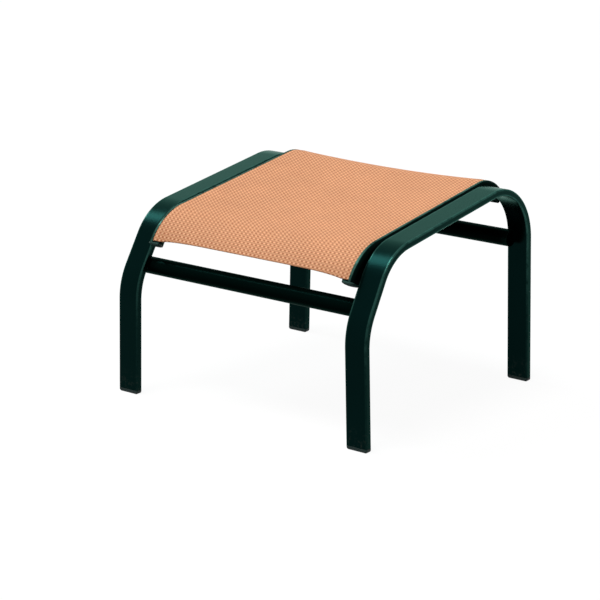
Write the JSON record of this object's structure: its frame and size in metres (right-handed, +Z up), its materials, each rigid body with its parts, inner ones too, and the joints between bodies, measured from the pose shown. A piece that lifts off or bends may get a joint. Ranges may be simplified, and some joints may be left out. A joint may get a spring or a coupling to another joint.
{
  "type": "outdoor footstool",
  "caption": "Outdoor ottoman footstool with bent flat-tube side frames, round crossbars and a woven mesh sling stretched between curved rails.",
  "frame": {"origin": "on the floor under the middle of the footstool", "axes": "+X across to the right-hand frame, +Y from the low front to the high rear, +Z up"},
  "size_m": [0.5712, 0.5218, 0.3914],
  "materials": {
    "green_paint": "dark green powder coat, smooth satin",
    "painted_weld": "dark green powder coat over a rippled weld bead",
    "foot_plastic": "moulded, very dark green, lightly scuffed under the foot",
    "cap_plastic": "moulded, dark green, satin",
    "sling_mesh": "basket weave of coated yarn in light and dark peach",
    "spline_plastic": "extruded rod, hidden in the sling's pocket",
    "bolt_steel": "zinc plated button head",
    "nut_steel": "zinc plated rivet nut"
  },
  "bodies": {
    "root": {"side_frame_right": "green_paint", "front_glide_right": "foot_plastic", "rear_glide_right": "foot_plastic", "sling_rail_right": "green_paint", "front_rail_cap_right": "cap_plastic", "rear_rail_cap_right": "cap_plastic", "sling_spline_right": "spline_plastic", "front_weld_above_right": "painted_weld", "front_weld_below_right": "painted_weld", "rear_weld_above_right": "painted_weld", "rear_weld_below_right": "painted_weld", "rail_bolt_front_right": "bolt_steel", "rail_bolt_middle_right": "bolt_steel", "rail_bolt_rear_right": "bolt_steel", "rivet_nut_front_right": "nut_steel", "rivet_nut_middle_right": "nut_steel", "rivet_nut_rear_right": "nut_steel", "side_frame_left": "green_paint", "front_glide_left": "foot_plastic", "rear_glide_left": "foot_plastic", "sling_rail_left": "green_paint", "front_rail_cap_left": "cap_plastic", "rear_rail_cap_left": "cap_plastic", "sling_spline_left": "spline_plastic", "front_weld_above_left": "painted_weld", "front_weld_below_left": "painted_weld", "rear_weld_above_left": "painted_weld", "rear_weld_below_left": "painted_weld", "rail_bolt_front_left": "bolt_steel", "rail_bolt_middle_left": "bolt_steel", "rail_bolt_rear_left": "bolt_steel", "rivet_nut_front_left": "nut_steel", "rivet_nut_middle_left": "nut_steel", "rivet_nut_rear_left": "nut_steel", "front_crossbar": "green_paint", "rear_crossbar": "green_paint", "sling": "sling_mesh"}
  },
  "joints": []
}
